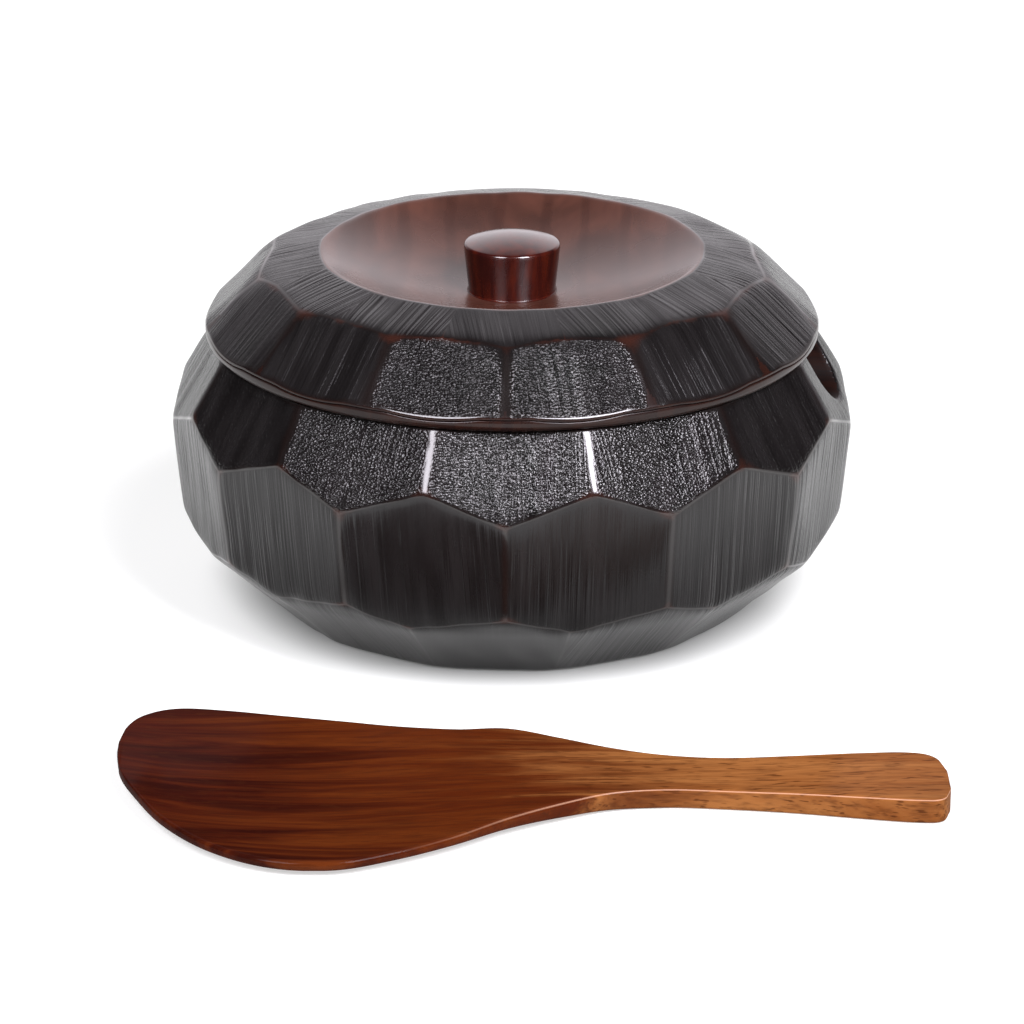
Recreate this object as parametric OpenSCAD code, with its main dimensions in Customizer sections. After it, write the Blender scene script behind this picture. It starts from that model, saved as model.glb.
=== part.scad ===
// Lidded serving bowl in black lacquered wood with its rice paddle, in millimetres.
// The origin is the centre of the bowl's base, on the table. Z is up and -Y is the front.
// The bowl and the lid are each turned from one block and then carved in rows of flat facets.

/* [Facets] */
// Facets in each carved row
facets = 13; // [10:1:16]
// Direction the first upper facet of the bowl faces, degrees from +X
upper_turn = -90.5; // [-104:0.5:-76]
// Turn of the middle row against the upper row, beyond its half step
middle_lag = -0.6; // [-5:0.2:5]
// Turn of the lower row against the upper row
lower_lag = -3.4; // [-5:0.2:5]
// Turn of the lid's facets against the bowl's upper row
lid_lag = -1.4; // [-14:0.2:14]

/* [Bowl] */
// Upper row: angle of the facets' normals above the horizon
upper_tilt = 30.8; // [20:0.2:45]
// Upper row: distance of the facets from the origin
upper_reach = 120; // [112:0.1:126]
// Middle row: angle of the normals below the horizon
middle_tilt = 5; // [0:0.2:12]
// Middle row: distance of the facets from the origin
middle_reach = 96.9; // [90:0.1:102]
// Lower row: angle of the normals below the horizon
lower_tilt = 46.9; // [38:0.2:56]
// Lower row: distance of the facets from the origin
lower_reach = 50.1; // [44:0.1:56]
// Height of the rim that the lid sits on
rim_z = 82.9; // [78:0.1:88]
// Radius of the mouth
mouth_r = 80; // [76:0.5:82]
// Thickness of the floor
floor_z = 11; // [9:0.5:16]

/* [Notch for the paddle's handle] */
// Direction of the notch, degrees from +X
notch_turn = -6.4; // [-20:0.2:6]
// Width of the notch, which is also twice the radius of its bottom
notch_w = 25; // [18:0.5:28]
// Height of the bottom of the notch
notch_z = 64.8; // [60:0.2:72]

/* [Lid] */
// Largest radius, at the turned roll along the lid's edge
lid_r = 93.8; // [90:0.1:97]
// Height of the edge's lip, where turning has taken the corners off the side facets
lip_z = 88.2; // [87:0.1:90]
// Rounding under the roll
roll_r = 2; // [1:0.2:3]
// Top ring: angle of the facets' normals above the horizon
ring_tilt = 76.5; // [70:0.5:82]
// Top ring: distance of the facets from the origin
ring_reach = 119.35; // [116:0.05:122]
// Side row of the lid: angle of the normals above the horizon
side_tilt = 45.7; // [36:0.2:52]
// Side row of the lid: distance of the facets from the origin
side_reach = 127.5; // [122:0.1:130]
// Radius of the flange that drops into the mouth
flange_r = 78.8; // [74:0.1:79.5]
// Depth of the flange below the seat
flange_depth = 6.9; // [4:0.1:10]
// Inner radius of the flange
hollow_r = 72; // [66:0.5:74]
// Height of the underside at the lid's middle
under_z = 87.5; // [85:0.5:90]
// Height of the underside at its highest, over the ring
crown_z = 93.5; // [88:0.5:96]

/* [Dish in the lid] */
// Radius of the sphere that shapes the dish
dish_sphere = 127.6; // [110:0.2:160]
// Height of the sphere's lowest point
dish_z = 94.65; // [92:0.05:98]
// Radius of the flat seat under the knob
seat_r = 14; // [13:0.5:18]

/* [Knob] */
// Radius at the widest, just under the domed top
knob_r = 14.7; // [12:0.1:18]
// Radius at the foot
knob_foot_r = 13.3; // [10:0.1:16]
// Height of the edge of the top
knob_edge_z = 109.5; // [106:0.1:110.9]
// Height of the crown of the dome
knob_top_z = 112.9; // [112.4:0.1:118]
// Rounding of the top edge and of the foot
knob_round = 1.1; // [0.8:0.1:2.4]
// Radius of the tenon glued into the lid
tenon_r = 5; // [4:0.5:7]
// Length of the tenon
tenon_len = 5.5; // [4:0.5:6]

/* [Paddle] */
// Thickness of the handle at the neck
handle_t = 6; // [5:0.2:8]
// Thickness of the handle at its end
handle_end_t = 7.3; // [5:0.1:9]
// Thickness of the blade near its rim
blade_t = 3; // [2.4:0.2:4]
// How far the middle of the blade is hollowed below its rim
blade_dish = 3.4; // [1:0.2:5]
// Height of the middle of the blade's back rim above the table
back_rim_z = 7.8; // [4:0.2:10]
// Height of the middle of the blade's front rim above the table
front_rim_z = 3.2; // [2:0.2:6]

/* [Hidden] */
$fn = 96;
step = 360 / facets;
middle_turn = upper_turn + middle_lag + step / 2;
lower_turn = upper_turn + lower_lag;
ring_turn = upper_turn + lid_lag;
side_turn = ring_turn + step / 2;
blank_r = 108;
cut_w = 300;
cut_d = 80;
past = 5;
bore_gap = 0.5;
lip_bevel_w = 6;
lip_bevel_h = 6.9;
// Hand carving has left the side facets on the lid's left a few degrees off their even places
side_drift = [0, 0, 0, 0, 0, 0, 0, 0, 2, 4, 4.6, 3.6, 1.4];
tenon_bevel = 0.5;

// The paddle's plan: distance along X, then how far its back and front edges lie in front of the bowl's middle
paddle_plan = [
    [-111.2, 142.5, 150.5],
    [-109.8, 133.5, 160],
    [-105.5, 126, 171],
    [-96.5, 121.6, 188],
    [-83, 122.6, 203],
    [-66, 126, 212.6],
    [-48, 129.6, 214.2],
    [-32, 132.8, 208.6],
    [-16, 134.2, 200],
    [-1, 132.2, 189],
    [14, 136.6, 179.8],
    [28, 142, 172.8],
    [43, 146.6, 170.6],
    [58, 148.6, 171.6],
    [78, 148.3, 174.2],
    [100, 147.6, 178.4],
    [114, 148.1, 180.4],
    [119.5, 152, 179],
    [121.6, 160.5, 173]
];
plan_end = len(paddle_plan) - 1;
paddle_start = paddle_plan[0][0];
paddle_len = paddle_plan[plan_end][0] - paddle_start;
blade_back = 126;
blade_front = 213;
neck_start = -25;
neck_len = 65;
swell_start = 55;
swell_len = 60;
corner_r = 1;
stations = 44;
across = 8;
corner_steps = 3;

// Points of a cubic curve from p0 to p3, pulled by p1 and p2
function curve(p0, p1, p2, p3, n = 10) = [
    for (i = [0:n])
        let (t = i / n, s = 1 - t)
        s * s * s * p0 + 3 * s * s * t * p1 + 3 * s * t * t * p2 + t * t * t * p3
];

// Points of an arc about c
function arc(c, rx, rz, a0, a1, n = 8) = [
    for (i = [0:n])
        let (a = a0 + (a1 - a0) * i / n)
        c + [rx * cos(a), rz * sin(a)]
];

function dish_height(r) = dish_z + dish_sphere - sqrt(dish_sphere * dish_sphere - r * r);

function smooth(t) = let (u = min(1, max(0, t))) u * u * (3 - 2 * u);

function mix(a, b, t) = a + (b - a) * t;

// One carved row: cuts away everything beyond each of its planes
module facet_row(turn, tilt, reach, drift = []) {
    for (i = [0:facets - 1])
        rotate([0, -tilt, turn + i * step + (i < len(drift) ? drift[i] : 0)])
            translate([reach, -cut_w / 2, -cut_w / 2])
                cube([cut_d, cut_w, cut_w]);
}

module cavity() {
    floor_r = 52;
    belly = [92.5, 50];
    wall = concat(
        [[0, floor_z]],
        arc([floor_r, belly[1]], belly[0] - floor_r, belly[1] - floor_z, -90, 0, 12),
        curve(belly, [belly[0], 63], [86, 71], [mouth_r, 78]),
        [[mouth_r, rim_z - 1], [mouth_r + 1, rim_z], [mouth_r + 1, rim_z + past], [0, rim_z + past]]
    );
    rotate_extrude() polygon(wall);
}

// Slot with a round bottom, cut down from the rim for the handle
module notch() {
    rotate([0, 0, notch_turn]) {
        translate([mouth_r - 10, 0, notch_z + notch_w / 2])
            rotate([0, 90, 0])
                cylinder(h = 40, d = notch_w);
        translate([mouth_r - 10, -notch_w / 2, notch_z + notch_w / 2])
            cube([40, notch_w, 20]);
    }
}

module bowl() {
    color("#2a2321")
    difference() {
        cylinder(h = rim_z, r = blank_r);
        facet_row(upper_turn, upper_tilt, upper_reach);
        facet_row(middle_turn, -middle_tilt, middle_reach);
        facet_row(lower_turn, -lower_tilt, lower_reach);
        cavity();
        notch();
    }
}

module lid_blank() {
    dish = [for (r = [seat_r:3.3:62]) [r, dish_height(r)]];
    underside = curve([hollow_r, rim_z + 2], [hollow_r, crown_z], [52, crown_z], [30, under_z + 1.2]);
    outline = concat(
        [[0, dish_height(seat_r)]],
        dish,
        [[63, 112], [82, 112], [lid_r - lip_bevel_w, lip_z + lip_bevel_h], [lid_r, lip_z]],
        arc([lid_r - roll_r, rim_z + roll_r], roll_r, roll_r, 0, -90, 5),
        [[flange_r, rim_z], [flange_r, rim_z - flange_depth + 1], [flange_r - 1, rim_z - flange_depth]],
        [[hollow_r + 1, rim_z - flange_depth], [hollow_r, rim_z - flange_depth + 1]],
        underside,
        [[0, under_z]]
    );
    rotate_extrude() polygon(outline);
}

module lid() {
    color("#2c2523")
    difference() {
        lid_blank();
        facet_row(ring_turn, ring_tilt, ring_reach);
        facet_row(side_turn, side_tilt, side_reach, side_drift);
        translate([0, 0, dish_height(seat_r) - tenon_len - bore_gap])
            cylinder(h = tenon_len + bore_gap + past, r = tenon_r);
    }
}

module knob() {
    foot_z = dish_height(seat_r);
    top_c = [knob_r - knob_round, knob_edge_z];
    foot_c = [knob_foot_r - knob_round, foot_z + knob_round];
    dome_edge = top_c + knob_round * [cos(72), sin(72)];
    dome_pull = [knob_r * 0.62, mix(dome_edge[1], knob_top_z, 0.67)];
    outline = concat(
        [[0, foot_z - tenon_len], [tenon_r - tenon_bevel, foot_z - tenon_len]],
        [[tenon_r, foot_z - tenon_len + tenon_bevel], [tenon_r, foot_z]],
        arc(foot_c, knob_round, knob_round, -90, -6, 5),
        arc(top_c, knob_round, knob_round, -6, 72, 5),
        curve(dome_edge, dome_pull, [knob_r * 0.31, knob_top_z], [0, knob_top_z], 8)
    );
    color("#4a1c12")
    rotate_extrude() polygon(outline);
}

// Slope of column c of the plan at row k, for a smooth curve through the rows
function plan_slope(k, c) =
    let (a = paddle_plan[max(0, k - 1)], b = paddle_plan[min(plan_end, k + 1)])
    (b[c] - a[c]) / (b[0] - a[0]);

function plan_row(x, k = 0) = k >= plan_end - 1 || x < paddle_plan[k + 1][0] ? k : plan_row(x, k + 1);

function plan_at(x, c) =
    let (
        k = plan_row(x),
        a = paddle_plan[k],
        b = paddle_plan[k + 1],
        w = b[0] - a[0],
        t = (x - a[0]) / w,
        s = 1 - t
    )
    a[c] * (1 + 2 * t) * s * s + plan_slope(k, c) * w * t * s * s
    + b[c] * (3 - 2 * t) * t * t - plan_slope(k + 1, c) * w * t * t * s;

// Height of the middle of the wood at a place across the section, d in front of the bowl's middle.
// The blade leans a little towards the front and is hollowed most where it is widest.
function core_height(d, u, w, blade, grip) =
    let (
        lean = mix(back_rim_z, front_rim_z, (d - blade_back) / (blade_front - blade_back)),
        depth = blade_dish * pow(2 * w / (blade_front - blade_back), 2)
    )
    mix(grip / 2, lean - depth * (1 - u * u), blade);

// One quarter of a section's outline
function section_quarter(w, t, r, a0, su, sv) = [
    for (i = [0:corner_steps])
        let (a = a0 + 90 * i / corner_steps)
        [su * (w - r) + r * cos(a), sv * (t - r) + r * sin(a)]
];

function section_side(w, r, t, dir) = [
    for (i = [1:across - 1]) [dir * (w - r) * cos(180 * i / across), dir * t]
];

function section(x) =
    let (
        back = plan_at(x, 1),
        front = plan_at(x, 2),
        w = (front - back) / 2,
        mid = (front + back) / 2,
        blade = 1 - smooth((x - neck_start) / neck_len),
        grip = mix(handle_t, handle_end_t, smooth((x - swell_start) / swell_len)),
        t = mix(grip, blade_t, blade) / 2,
        r = mix(corner_r, t - 0.05, blade),
        ring = concat(
            section_quarter(w, t, r, 0, 1, 1),
            section_side(w, r, t, 1),
            section_quarter(w, t, r, 90, -1, 1),
            section_quarter(w, t, r, 180, -1, -1),
            section_side(w, r, t, -1),
            section_quarter(w, t, r, 270, 1, -1)
        )
    )
    [for (p = ring) [x, -mid - p[0], core_height(mid + p[0], p[0] / w, w, blade, grip) + p[1]]];

module paddle() {
    rings = [
        for (i = [0:stations])
            section(paddle_start + paddle_len * (1 - cos(180 * i / stations)) / 2)
    ];
    n = len(rings[0]);
    points = [for (ring = rings) for (p = ring) p];
    skin = [
        for (i = [0:stations - 1]) for (j = [0:n - 1])
            let (a = i * n + j, b = i * n + (j + 1) % n)
            each [[a, b, b + n], [a, b + n, a + n]]
    ];
    ends = [[for (j = [n - 1:-1:0]) j], [for (j = [0:n - 1]) stations * n + j]];
    color("#7a4220")
    polyhedron(points, concat(skin, ends), convexity = 4);
}

bowl();
lid();
knob();
paddle();
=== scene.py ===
"""Looks for a lidded serving bowl in black lacquered wood, with its rice paddle.

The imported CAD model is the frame. Shapes are worked out in millimetres in the row frame, with
the origin at the centre of the bowl's base and -Y to the front, and become metres in each mesh.
"""

import math

import bpy
import numpy as np
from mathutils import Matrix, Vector


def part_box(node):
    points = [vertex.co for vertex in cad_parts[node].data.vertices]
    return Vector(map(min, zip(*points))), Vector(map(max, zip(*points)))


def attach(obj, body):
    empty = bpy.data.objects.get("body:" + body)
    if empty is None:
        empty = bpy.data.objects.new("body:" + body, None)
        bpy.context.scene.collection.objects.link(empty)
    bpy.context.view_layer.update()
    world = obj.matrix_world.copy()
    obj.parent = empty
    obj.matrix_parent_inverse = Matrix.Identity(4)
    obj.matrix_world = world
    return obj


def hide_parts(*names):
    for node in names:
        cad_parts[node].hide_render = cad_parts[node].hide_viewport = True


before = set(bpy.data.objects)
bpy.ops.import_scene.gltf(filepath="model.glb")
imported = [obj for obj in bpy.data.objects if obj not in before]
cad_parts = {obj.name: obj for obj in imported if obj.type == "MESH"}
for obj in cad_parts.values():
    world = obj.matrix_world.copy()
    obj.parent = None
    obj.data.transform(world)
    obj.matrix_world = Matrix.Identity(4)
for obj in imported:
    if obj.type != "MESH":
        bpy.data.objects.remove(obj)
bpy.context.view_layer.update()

MM = 0.001
# All chance comes from this one generator, so that each run gives the same model
RNG = np.random.default_rng(13)


# ---------------------------------------------------------------- sizes, as in the CAD part

# Millimetres, and degrees for turns and tilts
FACETS = 13
STEP = 360 / FACETS
UPPER_TURN = -90.5
MIDDLE_TURN = UPPER_TURN - 0.6 + STEP / 2
LOWER_TURN = UPPER_TURN - 3.4
RING_TURN = UPPER_TURN - 1.4
SIDE_TURN = RING_TURN + STEP / 2
# Tilt from upright in degrees, and reach from the origin, of the planes in each row of facets
UPPER_PLANE = (30.8, 120)
MIDDLE_PLANE = (-5, 96.9)
LOWER_PLANE = (-46.9, 50.1)
RING_PLANE = (76.5, 119.35)
SIDE_PLANE = (45.7, 127.5)

RIM_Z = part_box("bowl")[1].z / MM
MOUTH_R = 80
FLOOR_Z = 11
FLOOR_R = 52
BELLY = (92.5, 50)
NOTCH_TURN = -6.4
NOTCH_HALF = 12.5
NOTCH_Z = 77.3
LID_R = 93.8
LIP_Z = 87.6
LIP_ROUND = 1.4
ROLL_R = 2
# How far each facet of the lid's side is turned from its even place
SIDE_DRIFT = [0, 0, 0, 0, 0, 0, 0, 0, 2, 4, 4.6, 3.6, 1.4]
FLANGE_R = 78.8
FLANGE_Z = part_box("lid")[0].z / MM
FLANGE_ROUND = 1.2
HOLLOW_R = 72
UNDER_Z = 87.5
CROWN_Z = 93.5
DISH_R = 127.6
DISH_Z = 94.65
SEAT_R = 14
KNOB_R = 14.7
KNOB_FOOT_R = 13.3
KNOB_EDGE_Z = 109.5
KNOB_TOP_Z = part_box("knob")[1].z / MM
KNOB_ROUND = 1.1
TENON_R = 5
TENON_LEN = 5.5
HANDLE_T = 6
HANDLE_END_T = 7.3
HANDLE_ROUND = 1
BLADE_T = 3
BLADE_DISH = 3.4
BACK_RIM_Z = 7.8
FRONT_RIM_Z = 3.2
BLADE_BACK = 126
BLADE_FRONT = 213
NECK_START = -25
NECK_LEN = 65
SWELL_START = 55
SWELL_LEN = 60
PADDLE_FRONT = -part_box("paddle")[0].y / MM
# The paddle's plan: x, then how far its back and front edges are towards the front
PADDLE_PLAN = [
    [-111.2, 142.5, 150.5],
    [-109.8, 133.5, 160],
    [-105.5, 126, 171],
    [-96.5, 121.6, 188],
    [-83, 122.6, 203],
    [-66, 126, 212.6],
    [-48, 129.6, 214.2],
    [-32, 132.8, 208.6],
    [-16, 134.2, 200],
    [-1, 132.2, 189],
    [14, 136.6, 179.8],
    [28, 142, 172.8],
    [43, 146.6, 170.6],
    [58, 148.6, 171.6],
    [78, 148.3, 174.2],
    [100, 147.6, 178.4],
    [114, 148.1, 180.4],
    [119.5, 152, 179],
    [121.6, 160.5, 173],
]


# ---------------------------------------------------------------- mesh helpers


class Row:
    """One carved row of facets: planes at the same tilt and reach, a step apart but for their drift."""

    def __init__(self, turn, tilt, reach, drift=0):
        self.turns = turn + STEP * np.arange(FACETS) + np.array(drift)
        self.reach = reach
        self.sin = math.sin(math.radians(tilt))
        self.cos = math.cos(math.radians(tilt))
        a = np.radians(self.turns)
        self.normals = np.stack([np.cos(a) * self.cos, np.sin(a) * self.cos, a * 0 + self.sin], 1)
        self.ridges = self.turns + ((np.roll(self.turns, -1) - self.turns) % 360) / 2

    def slope(self, theta):
        """How much the outermost plane in a direction closes in, per step outwards."""
        away = np.subtract.outer(np.asarray(theta, float), self.turns)
        return np.cos(np.radians(away)).max(-1) * self.cos

    def radius(self, theta, z):
        """Distance from the axis to the row, in a direction at a height."""
        return (self.reach - z * self.sin) / self.slope(theta)

    def height(self, theta, r):
        """Height of the row, in a direction at a distance from the axis."""
        return (self.reach - r * self.slope(theta)) / self.sin


def join_rows(rows):
    """Ridge directions, normals and reaches of all the planes in some rows."""
    ridges = np.concatenate([row.ridges for row in rows])
    normals = np.concatenate([row.normals for row in rows])
    return ridges, normals, np.repeat([row.reach for row in rows], FACETS)


def meet(a, b, theta):
    """Where the lines of two rows cross in each column."""
    ca, cb = a.slope(theta), b.slope(theta)
    det = ca * b.sin - cb * a.sin
    return np.stack([(a.reach * b.sin - b.reach * a.sin) / det, (ca * b.reach - cb * a.reach) / det], 1)


# Distances of the columns and rows of points on each side of a ridge, and the least between columns
SPREAD = (0, 0.35, 0.8, 1.4, 2.2, 3.2)
LEAST_GAP = 0.22


def columns(ridges, radius, coarse, dense=()):
    """Directions of the columns: close together beside each ridge, and within each dense span."""
    found = []
    for ridge in ridges:
        for s in SPREAD:
            found += [ridge + math.degrees(s / radius), ridge - math.degrees(s / radius)]
    for start, end, gap in dense:
        found += list(np.arange(start, end, math.degrees(gap / radius)))
    found = np.sort(np.mod(found, 360))
    kept = [found[0]]
    for s in found[1:]:
        if math.radians(s - kept[-1]) * radius > LEAST_GAP:
            kept.append(s)
    full = []
    for a, b in zip(kept, kept[1:] + [kept[0] + 360]):
        n = max(1, math.ceil(math.radians(b - a) * radius / coarse))
        full += [a + (b - a) * i / n for i in range(n)]
    return np.array(full)


def stops(length, coarse, lead=True, tail=True):
    """Places from 0 to 1 along a line, close together at an end that is a ridge."""
    a = list(SPREAD) if lead else [0]
    b = [length - s for s in reversed(SPREAD)] if tail else [length]
    n = max(1, math.ceil((b[0] - a[-1]) / coarse))
    middle = [a[-1] + (b[0] - a[-1]) * i / n for i in range(1, n)]
    return np.array(a + middle + b) / length


def line(p, q, where):
    """Points on the straight line from p to q, in each column, at shares of its length."""
    p, q = np.broadcast_arrays(np.atleast_2d(p), np.atleast_2d(q))
    return [p + (q - p) * t for t in where]


def bezier(p0, p1, p2, p3, n):
    """Points on a curve from p0 to p3 in n steps."""
    t = np.linspace(0, 1, n + 1)[:, None]
    s = 1 - t
    p0, p1, p2, p3 = map(np.asarray, (p0, p1, p2, p3))
    return list(s**3 * p0 + 3 * s * s * t * p1 + 3 * s * t * t * p2 + t**3 * p3)


def arc(centre, rx, rz, a0, a1, n):
    """Points on a stretch of an ellipse in n steps, with angles in degrees."""
    a = np.radians(np.linspace(a0, a1, n + 1))
    return list(np.stack([centre[0] + rx * np.cos(a), centre[1] + rz * np.sin(a)], 1))


def turn_profile(theta, profile):
    """Points of each column's profile, as (rows, columns, 3)."""
    out = []
    c, s = np.cos(np.radians(theta)), np.sin(np.radians(theta))
    for p in profile:
        p = np.broadcast_to(np.atleast_2d(p), (len(theta), 2))
        out.append(np.stack([p[:, 0] * c, p[:, 0] * s, p[:, 1]], 1))
    return np.array(out)


def closed_skin(grid):
    """Vertices and faces of a closed skin, whose first and last rows are single points."""
    m, n = grid.shape[:2]
    verts = np.concatenate([grid[0, :1], grid[1:-1].reshape(-1, 3), grid[-1, :1]])
    last = len(verts) - 1
    j = np.arange(n)
    k = (j + 1) % n
    faces = [(0, int(1 + b), int(1 + a)) for a, b in zip(j, k)]
    for i in range(m - 3):
        base = 1 + i * n
        faces += [(int(base + a), int(base + b), int(base + n + b), int(base + n + a)) for a, b in zip(j, k)]
    base = 1 + (m - 3) * n
    faces += [(int(base + a), int(base + b), last) for a, b in zip(j, k)]
    return verts, faces


def tube_faces(count, n):
    """Faces between each of count rings, of n points, and the next."""
    return [
        (i * n + j, i * n + (j + 1) % n, (i + 1) * n + (j + 1) % n, (i + 1) * n + j)
        for i in range(count - 1)
        for j in range(n)
    ]


def make_object(name, verts, faces):
    """A smooth-shaded object from points in millimetres."""
    mesh = bpy.data.meshes.new(name)
    mesh.from_pydata([tuple(v) for v in np.asarray(verts) * MM], [], faces)
    mesh.update()
    mesh.shade_smooth()
    piece = bpy.data.objects.new(name, mesh)
    bpy.context.scene.collection.objects.link(piece)
    return piece


def points_of(mesh):
    """The mesh's points in millimetres."""
    co = np.zeros(len(mesh.vertices) * 3)
    mesh.vertices.foreach_get("co", co)
    return co.reshape(-1, 3) / MM


def set_points(mesh, points):
    mesh.vertices.foreach_set("co", (points * MM).ravel())
    mesh.update()


# A gap for points that a surface doesn't concern, and the wear distance that is past all wear
FAR = 99
UNWORN = 9
# The least squared length of a blended direction, so that no point is thrown across a thin edge
LEAST_WAY = 0.2


def blend(gaps, ways, sharpness):
    """One rounded surface from several: its gap below each point, and the way out through it."""
    nearest = gaps.min(1, keepdims=True)
    e = np.exp(-sharpness * np.clip(gaps - nearest, 0, 40))
    total = e.sum(1, keepdims=True)
    way = (e[:, :, None] * ways).sum(1) / total
    return (nearest - np.log(total) / sharpness)[:, 0], way


def settle(points, gap, way):
    """Moves points that lie outside a rounded surface onto it."""
    depth = np.maximum(0, -gap)
    return points - depth[:, None] * way / np.maximum((way * way).sum(1), LEAST_WAY)[:, None]


def unevenness(points, waves, size):
    """A gentle seeded waviness between 0 and 1, as left by hand work."""
    value = np.zeros(len(points))
    for _ in range(waves):
        k = RNG.normal(size=3) * 2 * math.pi / size
        value += np.sin(points @ k + RNG.uniform(0, 2 * math.pi))
    return 0.5 + 0.5 * np.clip(value / math.sqrt(2 * waves), -1, 1)


def store(mesh, name, values):
    """Gives each point of the mesh a number that its material reads."""
    layer = mesh.attributes.new(name, "FLOAT", "POINT")
    layer.data.foreach_set("value", np.asarray(values, np.float32))


NEIGHBOURS = 4  # Planes tried beside a point's own
LEAST_SINE = 0.003**0.5  # Of the angle between two planes


def ridge_distance(gaps, normals, kinds, reaches):
    """Distances along the surface to the two nearest ridges between planes, each shortened or
    lengthened by how far wear reaches beside that kind of ridge."""
    order = np.argsort(gaps, 1)[:, : NEIGHBOURS + 1]
    own = order[:, 0]
    own_gap = np.take_along_axis(gaps, order[:, :1], 1)[:, 0]
    found = []
    for i in range(1, NEIGHBOURS + 1):
        other = order[:, i]
        gap = np.take_along_axis(gaps, order[:, i : i + 1], 1)[:, 0] - own_gap
        sine = np.sqrt(np.maximum(1 - (normals[own] * normals[other]).sum(1) ** 2, LEAST_SINE**2))
        pair = np.array(reaches)[kinds[own], kinds[other]]
        found.append(gap / sine / pair)
    found = np.sort(np.array(found), 0)
    return np.minimum(found[0], UNWORN), np.minimum(found[1], UNWORN)


FRONT_FACING = 0.78  # Least share of a normal's level part that points to the front


def stippling(normals, rows, behind):
    """Strength of the stippled lacquer on each facet of some rows: full on those facing the front,
    and weakened to a share, behind, on the others."""
    faces_front = -normals[:, 1] / np.hypot(normals[:, 0], normals[:, 1])
    return np.repeat(rows, FACETS) * np.where(faces_front > FRONT_FACING, 1, behind)


def grain_map(mesh, points, reach, normals, swing):
    """UVs in metres: across and along the grain of each facet, which keeps its own place in the wood.
    Returns the centres of the faces."""
    tilts = RNG.uniform(-swing, swing, len(normals))
    offsets = RNG.uniform(0, 3, (len(normals), 2))
    layer = mesh.uv_layers.new(name="grain")
    corner_vert = np.zeros(len(mesh.loops), np.int64)
    mesh.loops.foreach_get("vertex_index", corner_vert)
    counts = np.zeros(len(mesh.polygons), np.int64)
    mesh.polygons.foreach_get("loop_total", counts)
    face_of = np.repeat(np.arange(len(counts)), counts)
    centres = np.zeros(len(counts) * 3)
    mesh.polygons.foreach_get("center", centres)
    centres = centres.reshape(-1, 3) / MM
    facet = np.argmin(reach - centres @ normals.T, 1)
    f = facet[face_of]
    n = normals[f]
    side = np.stack([-n[:, 1], n[:, 0], n[:, 2] * 0], 1)
    side /= np.maximum(np.linalg.norm(side, axis=1), 1e-6)[:, None]
    up = np.cross(n, side)
    p = points[corner_vert]
    u, v = (p * side).sum(1), (p * up).sum(1)
    a = np.radians(tilts[f])
    uv = np.stack([u * np.cos(a) + v * np.sin(a), v * np.cos(a) - u * np.sin(a)], 1) * MM + offsets[f]
    layer.data.foreach_set("uv", uv.astype(np.float32).ravel())
    return centres


# ---------------------------------------------------------------- bowl


def cavity_profile():
    """The turned inside, from the rim down its wall and round into the floor."""
    wall = [(MOUTH_R, RIM_Z - 1)]
    wall += bezier((MOUTH_R, 78), (86, 71), (BELLY[0], 63), BELLY, 12)
    wall += arc((FLOOR_R, BELLY[1]), BELLY[0] - FLOOR_R, BELLY[1] - FLOOR_Z, 0, -90, 22)[1:]
    return wall


CUTTER_Z = 95
CUTTER_REACH = (70, 112)


def cut_notch(piece):
    """Cuts the round-bottomed slot for the paddle's handle."""
    section = [(-NOTCH_HALF, z) for z in np.linspace(CUTTER_Z, NOTCH_Z, 22)]
    section += [(x, z) for x, z in arc((0, NOTCH_Z), NOTCH_HALF, NOTCH_HALF, 180, 360, 44)[1:]]
    section += [(NOTCH_HALF, z) for z in np.linspace(NOTCH_Z, CUTTER_Z, 22)[1:]]
    reach = np.linspace(*CUTTER_REACH, 60)
    c, s = math.cos(math.radians(NOTCH_TURN)), math.sin(math.radians(NOTCH_TURN))
    verts = [(x * c - y * s, x * s + y * c, z) for x in reach for y, z in section]
    n = len(section)
    faces = tube_faces(len(reach), n)
    faces += [tuple(reversed(range(n))), tuple(range(len(verts) - n, len(verts)))]
    cutter = make_object("cutter", verts, faces)
    cut = piece.modifiers.new("notch", "BOOLEAN")
    cut.operation = "DIFFERENCE"
    cut.solver = "EXACT"
    cut.object = cutter
    depsgraph = bpy.context.evaluated_depsgraph_get()
    mesh = bpy.data.meshes.new_from_object(piece.evaluated_get(depsgraph))
    piece.modifiers.clear()
    piece.data = mesh
    bpy.data.objects.remove(cutter)


def notch_gap(points):
    """Distance of each point from the slot, and the direction into it."""
    c, s = math.cos(math.radians(NOTCH_TURN)), math.sin(math.radians(NOTCH_TURN))
    x = points[:, 0] * c + points[:, 1] * s
    y = points[:, 1] * c - points[:, 0] * s
    drop = np.minimum(points[:, 2] - NOTCH_Z, 0)
    away = np.maximum(np.hypot(y, drop), 1e-6)
    gap = np.where(x > 0, away - NOTCH_HALF, FAR)
    return gap, np.stack([y * s / away, -y * c / away, -drop / away], 1)


def bowl_profile(upper, middle, lower, theta):
    """Each column's outline, from the middle of the base round the outside, the rim and the inside.
    Every stretch is given its rough length, which sets how many rows of points it gets."""
    foot = np.stack([lower.radius(theta, 0), theta * 0], 1)
    low = meet(lower, middle, theta)
    high = meet(middle, upper, theta)
    rim = np.stack([upper.radius(theta, RIM_Z), theta * 0 + RIM_Z], 1)
    wall = cavity_profile()
    profile = [(0, 0)]
    profile += line((9, 0), foot, stops(66, 9, lead=False))
    profile += line(foot, low, stops(30, 2.6))[1:]
    profile += line(low, high, stops(44, 2.6))[1:]
    profile += line(high, rim, stops(36, 1.3))[1:]
    profile += line(rim, (MOUTH_R + 1, RIM_Z), stops(9.5, 1.6, tail=False))[1:]
    profile += wall
    profile += line(wall[-1], (6, FLOOR_Z), np.linspace(0, 1, 12))[1:]
    return profile + [(0, FLOOR_Z)]


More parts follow.
